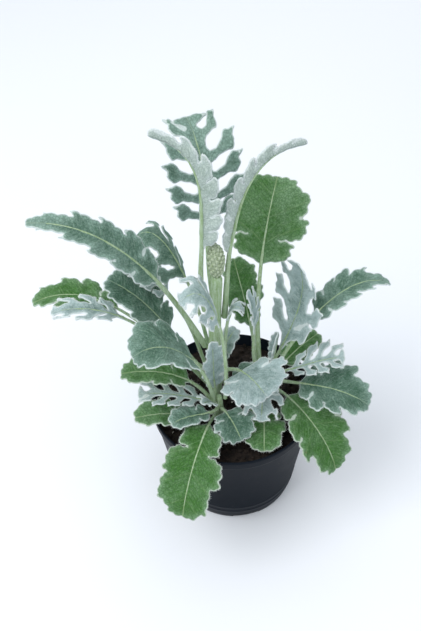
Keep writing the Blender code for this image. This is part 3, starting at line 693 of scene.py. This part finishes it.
bud = dict(core=(4.7, 12.0), bracts=90, size=(1.05, 2.0), turn=137.508, sunk=0.3)
half, tall = bud["core"]
top, radius = shootAxis("main_stem", shoots["main_stem"]["height"])
base = top + Vector((0.0, 0.0, gap))
bpy.ops.mesh.primitive_uv_sphere_add(segments=32, ring_count=20, radius=1.0)
budPiece = bpy.context.object
budPiece.scale = (half * mm, half * mm, tall * mm)
budPiece.location = (base + potAxis + Vector((0, 0, tall - bud["sunk"]))) * mm
bpy.ops.object.transform_apply(location=True, rotation=True, scale=True)
bpy.ops.object.shade_smooth()
budPiece.data.materials.append(budMaterial)
luck = random.Random(7)
shape = bmesh.new()
shape.from_mesh(budPiece.data)
for number in range(bud["bracts"]):
    share = (number + 0.5) / bud["bracts"]
    angle = math.radians(number * bud["turn"])
    height = -0.93 + 1.88 * share
    swell = math.sqrt(max(0.0, 1.0 - height ** 2))
    x, y = swell * math.cos(angle), swell * math.sin(angle)
    out = Vector((x / half, y / half, height / tall)).normalized()
    place = base + potAxis + Vector((x * half, y * half, tall * (1.0 + height) - bud["sunk"]))
    tilt = (out * 0.55 + Vector((0, 0, 1))).normalized().to_track_quat("Z", "Y").to_matrix().to_4x4()
    grow = luck.uniform(0.85, 1.15)
    size = Matrix.Diagonal((bud["size"][0] * grow, bud["size"][0] * grow, bud["size"][1] * grow, 1.0))
    spot = Matrix.Translation(place * mm) @ tilt @ size
    bmesh.ops.create_icosphere(shape, subdivisions=2, radius=mm, matrix=spot)
for face in shape.faces:
    face.smooth = True
shape.to_mesh(budPiece.data)
shape.free()
budPiece.name = "flower_bud_fine"
settle(budPiece, "flower_bud", "silver_felt")
print("shoots and bud made")


# Pot
pot = dict(rim=60.0, height=96.0, foot=47.5, wall=1.4, band=8.5, step=1.6, rise=4.0, notchWide=20.0,
           notches=(-82, 8, 98, 188), drainRadius=4.0, drainCircle=27.0, ribs=(12.0, 18.5))


def wallRadius(height):
    upper = pot["rim"] - pot["step"]
    return pot["foot"] + (upper - pot["foot"]) * height / (pot["height"] - pot["band"])


def turnedPiece(name, profile, steps, material):
    # an open or closed profile of (radius, height), turned about the pot's axis
    shape = bmesh.new()
    points = [shape.verts.new((r * mm, 0.0, z * mm)) for r, z in profile]
    for a, b in zip(points, points[1:]):
        shape.edges.new((a, b))
    mesh = bpy.data.meshes.new(name)
    shape.to_mesh(mesh)
    shape.free()
    made = addObject(name, mesh, material)
    screw = made.modifiers.new("turn", "SCREW")
    screw.steps = steps
    screw.render_steps = steps
    screw.use_merge_vertices = True
    screw.merge_threshold = 0.00005
    screw.use_smooth_shade = True
    applyAll(made)
    return made


def potPaint():
    paint = Paint("satinPotPlastic", 0.4)
    paint.shader.inputs["Specular IOR Level"].default_value = 0.12
    paint.shader.inputs["IOR"].default_value = 1.3
    spot = paint.add("TexCoord", output=3)
    grain = paint.noise(spot, 1500.0, 3.0)
    dust = paint.noise(spot, 60.0, 5.0, 0.6)
    specks = paint.noise(spot, 700.0, 2.0).fade(0.70, 0.78)
    height = paint.add("SeparateXYZ", {0: spot}, output=2)
    # painted light: the lowest 30 mm of the pot is paler, standing in for light thrown up from the bright
    # floor; the blend below mixes it with the real dust
    low = height.fade(0.03, 0.0) * 0.3
    colour = paint.blend(dust.fade(0.45, 0.8) * 0.35 + low, (0.006, 0.009, 0.014), (0.022, 0.027, 0.035))
    colour = paint.blend(specks * 0.3, colour, (0.12, 0.085, 0.055))
    return paint.finish(colour, grain + dust * 0.3, 0.12, 0.0002, (dust * 0.25 + 0.30))


potMaterial = potPaint()
bandFoot = pot["height"] - pot["band"]
floorTop = pot["rise"] + pot["wall"]
rim = pot["rim"]
profile = [(0.0, floorTop), (pot["foot"] - 3.4, floorTop), (pot["foot"] - 2.6, floorTop + 0.8)]
profile += [(wallRadius(bandFoot) - pot["wall"], bandFoot), (rim - pot["wall"], bandFoot + 2.0)]
profile += [(rim - 1.4, pot["height"] - 0.5), (rim - 1.1, pot["height"] - 0.1), (rim - 0.7, pot["height"])]
profile += [(rim - 0.3, pot["height"] - 0.1), (rim, pot["height"] - 0.5), (rim - 0.05, pot["height"] - 2.0)]
profile += [(rim - 0.4, bandFoot + 1.2), (rim - 0.5, bandFoot + 0.5), (rim - 0.9, bandFoot + 0.1)]
profile += [(wallRadius(bandFoot - 0.6) + 0.1, bandFoot - 0.3), (wallRadius(bandFoot - 1.2), bandFoot - 1.2)]
for rib in reversed(pot["ribs"]):  # two faint moulding lines
    for above, proud in ((0.7, 0.0), (0.0, 0.28), (-0.7, 0.0)):
        profile.append((wallRadius(rib + above) + proud, rib + above))
foot = pot["foot"]
profile += [(wallRadius(7.0), 7.0), (foot - 0.1, 3.0), (foot - 0.6, 1.0), (foot - 1.4, 0.1)]
profile += [(foot - 2.0, 0.0), (foot - 3.6, 0.0), (foot - 4.2, 0.3), (foot - 4.6, pot["rise"])]
profile += [(0.0, pot["rise"])]
potPiece = turnedPiece("nursery_pot_fine", profile, 160, potMaterial)
cutters = []
for angle in pot["notches"]:
    bpy.ops.mesh.primitive_cube_add(size=1.0)
    cutter = bpy.context.object
    turn = math.radians(angle)
    cutter.scale = (14.0 * mm, pot["notchWide"] * mm, 5.2 * mm)
    cutter.rotation_euler = (0.0, 0.0, turn)
    cutter.location = Vector((math.cos(turn), math.sin(turn), 0.0)) * (foot - 2.0) * mm
    cutters.append(cutter)
for number in range(4):
    turn = math.radians(45 + 90 * number)
    place = Vector((pot["drainCircle"] * math.cos(turn), pot["drainCircle"] * math.sin(turn), 5.0)) * mm
    radius = pot["drainRadius"] * mm
    bpy.ops.mesh.primitive_cylinder_add(vertices=32, radius=radius, depth=8.0 * mm, location=place)
    cutters.append(bpy.context.object)
for cutter in cutters:
    cut = potPiece.modifiers.new("cut", "BOOLEAN")
    cut.operation = "DIFFERENCE"
    cut.object = cutter
    cut.solver = "EXACT"
applyAll(potPiece)
for cutter in cutters:
    bpy.data.objects.remove(cutter)
potPiece.location = potAxis * mm
pickOnly(potPiece)
bpy.ops.object.transform_apply(location=True, rotation=False, scale=False)
settle(potPiece, "nursery_pot", "pot_plastic")
print("pot made")


# Soil: a clodded top with bark crumbs and perlite
soil = dict(rings=90, spokes=220, crumbs=900, perlite=26, reach=57.0, hump=1.3, crown=1.5, clod=1.5)


def soilHeight(x, y):
    r = math.hypot(x, y)
    edge = max(0.0, 1.0 - (r / soil["reach"]) ** 4)
    humps = math.sin(0.31 * x + 1.1) * math.cos(0.27 * y - 0.4) + 0.7 * math.sin(0.62 * x - 0.45 * y)
    return (soil["hump"] * humps + soil["crown"]) * edge


def soilPaint():
    paint = Paint("pottingSoil", 0.95)
    spot = paint.add("TexCoord", output=3)
    lumps = paint.noise(spot, 260.0, 6.0, 0.65)
    fibres = paint.noise(spot, 1400.0, 3.0, 0.7)
    colour = paint.blend(lumps.fade(0.3, 0.75), (0.004, 0.003, 0.003), (0.030, 0.021, 0.015))
    colour = paint.blend(fibres.fade(0.62, 0.75) * 0.5, colour, (0.075, 0.050, 0.030))
    return paint.finish(colour, lumps + fibres * 0.4, 0.8, 0.001)


def perlitePaint():
    paint = Paint("perlite", 0.9)
    spot = paint.add("TexCoord", output=3)
    return paint.finish(paint.blend(paint.noise(spot, 900.0), (0.42, 0.40, 0.36), (0.75, 0.74, 0.70)))


soilMaterial = soilPaint()
perliteMaterial = perlitePaint()
soilSide = wallRadius(bandFoot) - pot["wall"] - gap
soilFoot = pot["foot"] - 3.35
soilLow = floorTop + gap
soilEdge = soilFoot + (soilSide - soilFoot) / (bandFoot - floorTop) * (soilTop - soilLow) - 0.2
profile = [(0.0, soilTop)] + [(soilEdge * k / soil["rings"], soilTop) for k in range(1, soil["rings"] + 1)]
profile += [(soilFoot, soilLow), (0.0, soilLow)]
soilPiece = turnedPiece("potting_soil_fine", profile, soil["spokes"], soilMaterial)
for vertex in soilPiece.data.vertices:
    if vertex.co.z > (soilTop - 1.0) * mm:
        x, y = vertex.co.x / mm, vertex.co.y / mm
        calm = max(0.0, 1.0 - (math.hypot(x, y) / soilEdge) ** 8)
        clods = noise.fractal(Vector((x * 0.16, y * 0.16, 2.0)), 0.8, 2.1, 5)
        vertex.co.z += (soilHeight(x, y) + soil["clod"] * clods * calm) * mm
luck = random.Random(11)
shape = bmesh.new()
for number in range(soil["crumbs"] + soil["perlite"]):
    white = number >= soil["crumbs"]
    r, angle = soilEdge * 0.985 * math.sqrt(luck.random()), luck.uniform(0.0, math.tau)
    x, y = r * math.cos(angle), r * math.sin(angle)
    if min(math.hypot(x - s["x"], y - s["y"]) - s["foot"] for s in shoots.values()) < 1.5:
        continue
    size = luck.uniform(0.5, 1.0) if white else luck.uniform(0.5, 1.7) ** 1.3
    spot = Matrix.Translation(Vector((x, y, soilTop + soilHeight(x, y) + size * 0.35)) * mm)
    turn = luck.uniform(0, math.tau)
    spin = Matrix.Rotation(turn, 4, Vector((luck.random(), luck.random(), luck.random() + 0.1)))
    stretch = Matrix.Diagonal((size * luck.uniform(0.8, 1.9), size, size * luck.uniform(0.4, 0.9), 1.0))
    made = bmesh.ops.create_icosphere(shape, subdivisions=1, radius=mm, matrix=spot @ spin @ stretch)
    for vert in made["verts"]:
        vert.co += Vector((luck.uniform(-1, 1), luck.uniform(-1, 1), luck.uniform(-1, 1))) * 0.22 * size * mm
        for face in vert.link_faces:
            face.material_index = 1 if white else 0
mesh = bpy.data.meshes.new("crumbs")
shape.to_mesh(mesh)
shape.free()
crumbs = addObject("crumbs", mesh, soilMaterial, perliteMaterial)
joinInto(soilPiece, crumbs)
soilPiece.location = potAxis * mm
pickOnly(soilPiece)
bpy.ops.object.transform_apply(location=True, rotation=False, scale=False)
settle(soilPiece, "potting_soil", "potting_soil")
print("soil made")


# Floor, light and camera
stage = dict(key=11.0, fill=3.2, sky=0.82)
bpy.ops.mesh.primitive_plane_add(size=6.0)
floor = bpy.context.object
floor.name = "floor"
paint = Paint("paleFloor", 0.9)
spot = paint.add("TexCoord", output=3)
shade = paint.noise(spot, 1.2, 1.0)
floor.data.materials.append(paint.finish(paint.blend(shade, (0.80, 0.84, 0.90), (0.86, 0.88, 0.91))))
lights = []
for name, place, size, power in (
    ("key", (-0.75, -0.35, 1.25), 0.9, stage["key"]),
    ("fill", (0.9, -0.9, 1.0), 1.4, stage["fill"]),
    ("back", (0.2, 1.2, 1.1), 1.4, stage["fill"]),
):
    lamp = bpy.data.lights.new(name, "AREA")
    lamp.energy = power
    lamp.size = size
    made = bpy.data.objects.new(name, lamp)
    scene.collection.objects.link(made)
    made.location = place
    made.rotation_euler = (Vector((0, 0, 0.15)) - Vector(place)).to_track_quat("-Z", "Y").to_euler()
    lights.append(made)
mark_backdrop(floor, *lights)
world = bpy.data.worlds.new("studio")
world.use_nodes = True
world.node_tree.nodes["Background"].inputs[0].default_value = (0.93, 0.96, 1.0, 1.0)
world.node_tree.nodes["Background"].inputs[1].default_value = stage["sky"]
scene.world = world
scene.view_settings.view_transform = "Standard"
scene.view_settings.look = "None"

camera = dict(place=(-2.3, -312.2, 503.2), pitch=44.5, roll=-3.0, lens=39.94)
lens = bpy.data.cameras.new("photoCamera")
lens.sensor_width = 36.0
lens.lens = camera["lens"]
lens.clip_start = 0.01
photoCamera = bpy.data.objects.new("photoCamera", lens)
scene.collection.objects.link(photoCamera)
photoCamera.matrix_world = (Matrix.Translation(Vector(camera["place"]) * mm)
                            @ Matrix.Rotation(math.radians(camera["pitch"]), 4, "X")
                            @ Matrix.Rotation(math.radians(camera["roll"]), 4, "Z"))
scene.camera = photoCamera
print("stage set")

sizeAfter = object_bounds()
boxes = {"cad": sizeBefore, "scene": sizeAfter}
